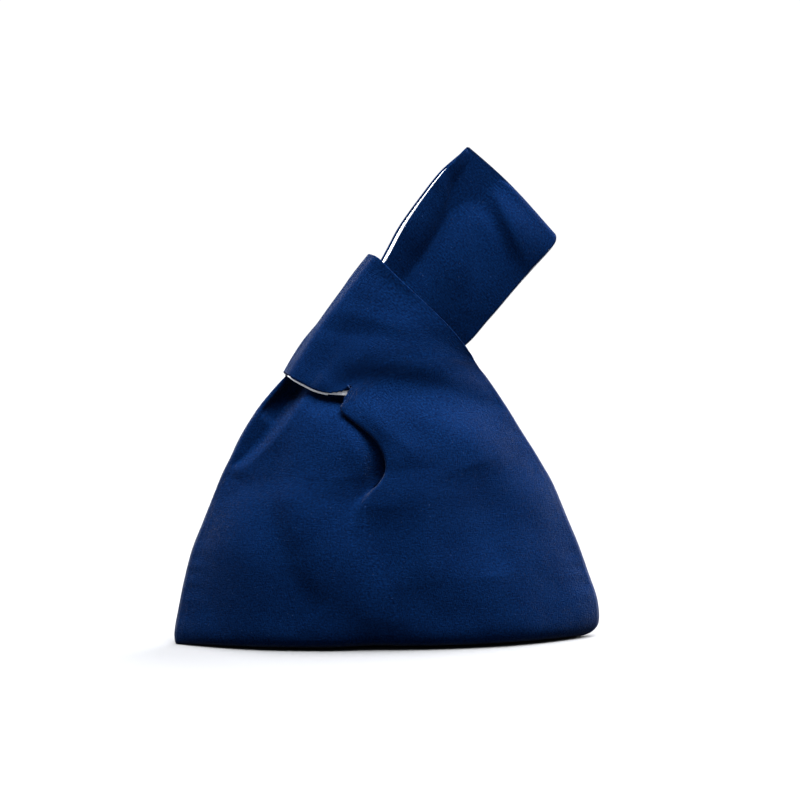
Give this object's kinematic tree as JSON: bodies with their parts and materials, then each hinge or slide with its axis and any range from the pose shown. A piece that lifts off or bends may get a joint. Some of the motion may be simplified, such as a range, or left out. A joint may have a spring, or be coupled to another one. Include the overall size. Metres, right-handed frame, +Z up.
{
  "type": "knot bag",
  "caption": "Filled canvas knot bag standing on its base, its long handle drawn up through its short one, with pale lining in the handle loops.",
  "frame": {"origin": "middle of the base, on the surface that the bag stands on", "axes": "+Z up, -Y out of the front, +X to the right side seam as seen from the front"},
  "size_m": [0.2374, 0.092, 0.2755],
  "materials": {
    "canvas": "matt fine plain weave, deep navy",
    "lining": "matt fine cotton, off-white"
  },
  "bodies": {
    "root": {"outer_front": "canvas", "lining_long_front": "lining", "lining_short_front": "lining", "outer_back": "canvas", "lining_long_back": "lining", "lining_short_back": "lining"}
  },
  "joints": []
}
